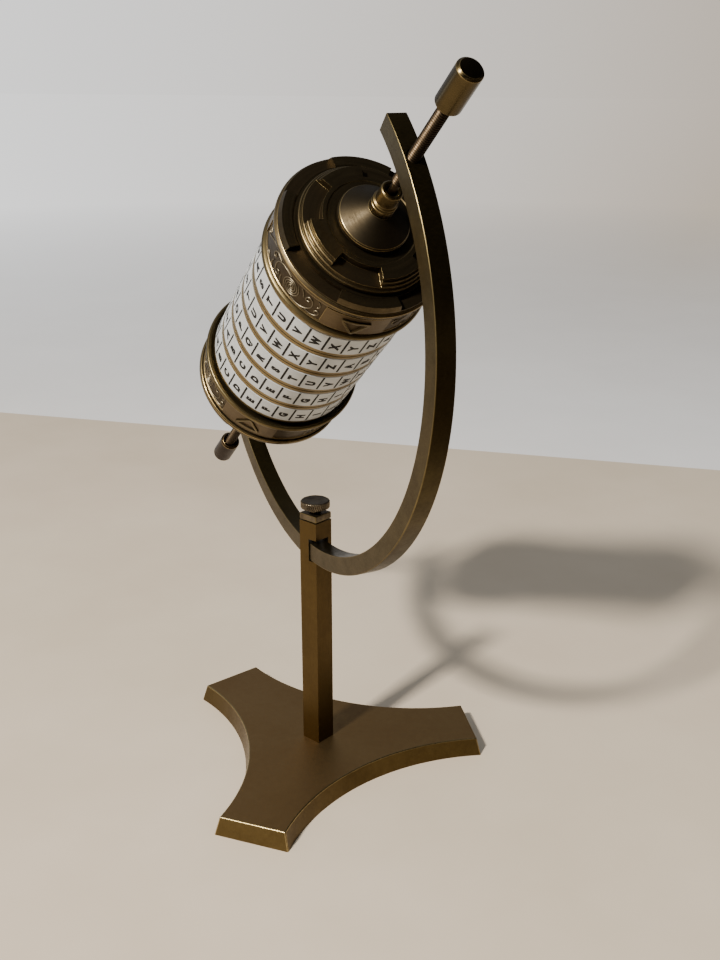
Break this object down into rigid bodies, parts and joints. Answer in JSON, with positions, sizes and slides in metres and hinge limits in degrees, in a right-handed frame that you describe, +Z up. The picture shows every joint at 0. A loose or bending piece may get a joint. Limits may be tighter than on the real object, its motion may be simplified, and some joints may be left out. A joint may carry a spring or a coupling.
{
  "type": "tabletop cryptex on a tilting stand",
  "caption": "Cylindrical letter-ring lock with stepped end caps, held by pivot screws in a C-shaped yoke that slides through a clamp on a square post with a three-armed base.",
  "frame": {"origin": "middle of the base plate's underside", "axes": "+Z up along the post, the yoke lies in the XZ plane, +X towards the raised end of the lock"},
  "size_m": [0.1486, 0.087, 0.1884],
  "materials": {
    "satin_brass": "satin, antiqued",
    "yoke_brass": "satin, antiqued",
    "dark_bronze": "dark antiqued, rubbed edges",
    "ring_brass": "aged, lightly polished",
    "polished_bronze": "polished, red-brown",
    "white_enamel": "satin white with black lettering",
    "steel": "plain"
  },
  "bodies": {
    "stand": {"base_plate": "satin_brass", "post": "satin_brass", "post_stud": "steel", "clamp_cap": "dark_bronze"},
    "clamp_shoe": {"clamp_pad": "steel"},
    "clamp_knob": {"clamp_screw": "dark_bronze"},
    "yoke": {"yoke_arc": "yoke_brass"},
    "upper_point": {"upper_pivot_tip": "steel"},
    "upper_screw": {"upper_pivot_screw": "polished_bronze", "upper_pivot_knob": "polished_bronze"},
    "lower_point": {"lower_pivot_tip": "steel"},
    "lower_screw": {"lower_pivot_screw": "polished_bronze", "lower_pivot_knob": "polished_bronze"},
    "lock_body": {"lower_flange": "ring_brass", "lower_band": "dark_bronze", "lower_lip": "satin_brass", "lower_cap_core": "dark_bronze", "lower_outer_tier": "dark_bronze", "lower_crown": "dark_bronze", "lower_hub_cone": "dark_bronze", "lower_socket_sleeve": "ring_brass", "outer_tube": "ring_brass", "retaining_ring": "steel"},
    "drawer": {"upper_flange": "ring_brass", "upper_band": "dark_bronze", "upper_lip": "satin_brass", "upper_cap_core": "dark_bronze", "upper_outer_tier": "dark_bronze", "upper_crown": "dark_bronze", "upper_hub_cone": "dark_bronze", "upper_socket_sleeve": "ring_brass", "inner_tube": "ring_brass", "key_rail": "steel"},
    "ring_1": {"letter_ring_1": "ring_brass", "letter_strip_1": "white_enamel", "code_ring_1": "steel"},
    "ring_2": {"letter_ring_2": "ring_brass", "letter_strip_2": "white_enamel", "code_ring_2": "steel"},
    "ring_3": {"letter_ring_3": "ring_brass", "letter_strip_3": "white_enamel", "code_ring_3": "steel"},
    "ring_4": {"letter_ring_4": "ring_brass", "letter_strip_4": "white_enamel", "code_ring_4": "steel"},
    "ring_5": {"letter_ring_5": "ring_brass", "letter_strip_5": "white_enamel", "code_ring_5": "steel"}
  },
  "joints": [
    {"name": "yoke_tilt", "type": "hinge", "parent": "stand", "child": "yoke", "pos_m": [0, 0, 0.1276], "axis": [0, -1, 0], "range_deg": [-109, 31]},
    {"name": "clamp_shoe_slide", "type": "slide", "parent": "stand", "child": "clamp_shoe", "axis": [0, 0, 1], "range_m": [0, 0.00025]},
    {"name": "clamp_turn", "type": "hinge", "parent": "clamp_shoe", "child": "clamp_knob", "pos_m": [0, 0, 0.0764], "axis": [0, 0, 1], "range_deg": [0, 180.1]},
    {"name": "upper_point_slide", "type": "slide", "parent": "yoke", "child": "upper_point", "axis": [0.7771, 0, 0.6293], "range_m": [0, 0.004]},
    {"name": "upper_screw_turn", "type": "hinge", "parent": "upper_point", "child": "upper_screw", "pos_m": [0, 0, 0.1276], "axis": [0.7771, 0, 0.6293], "range_deg": [0, 2881]},
    {"name": "lower_point_slide", "type": "slide", "parent": "yoke", "child": "lower_point", "axis": [-0.7771, 0, -0.6293], "range_m": [0, 0.004]},
    {"name": "lower_screw_turn", "type": "hinge", "parent": "lower_point", "child": "lower_screw", "pos_m": [0, 0, 0.1276], "axis": [-0.7771, 0, -0.6293], "range_deg": [0, 2881]},
    {"name": "lock_spin", "type": "hinge", "parent": "yoke", "child": "lock_body", "pos_m": [0, 0, 0.1276], "axis": [0.7771, 0, 0.6293], "continuous": true},
    {"name": "drawer_play", "type": "slide", "parent": "lock_body", "child": "drawer", "axis": [0.7771, 0, 0.6293], "range_m": [0, 0.0018]},
    {"name": "ring_1_turn", "type": "hinge", "parent": "lock_body", "child": "ring_1", "pos_m": [0, 0, 0.1276], "axis": [0.7771, 0, 0.6293], "continuous": true},
    {"name": "ring_2_turn", "type": "hinge", "parent": "lock_body", "child": "ring_2", "pos_m": [0, 0, 0.1276], "axis": [0.7771, 0, 0.6293], "continuous": true},
    {"name": "ring_3_turn", "type": "hinge", "parent": "lock_body", "child": "ring_3", "pos_m": [0, 0, 0.1276], "axis": [0.7771, 0, 0.6293], "continuous": true},
    {"name": "ring_4_turn", "type": "hinge", "parent": "lock_body", "child": "ring_4", "pos_m": [0, 0, 0.1276], "axis": [0.7771, 0, 0.6293], "continuous": true},
    {"name": "ring_5_turn", "type": "hinge", "parent": "lock_body", "child": "ring_5", "pos_m": [0, 0, 0.1276], "axis": [0.7771, 0, 0.6293], "continuous": true}
  ],
  "couplings": [
    {"joint": "clamp_turn", "follows": "clamp_shoe_slide", "rad_per_m": 12566},
    {"joint": "upper_screw_turn", "follows": "upper_point_slide", "rad_per_m": 12566},
    {"joint": "lower_screw_turn", "follows": "lower_point_slide", "rad_per_m": 12566}
  ]
}
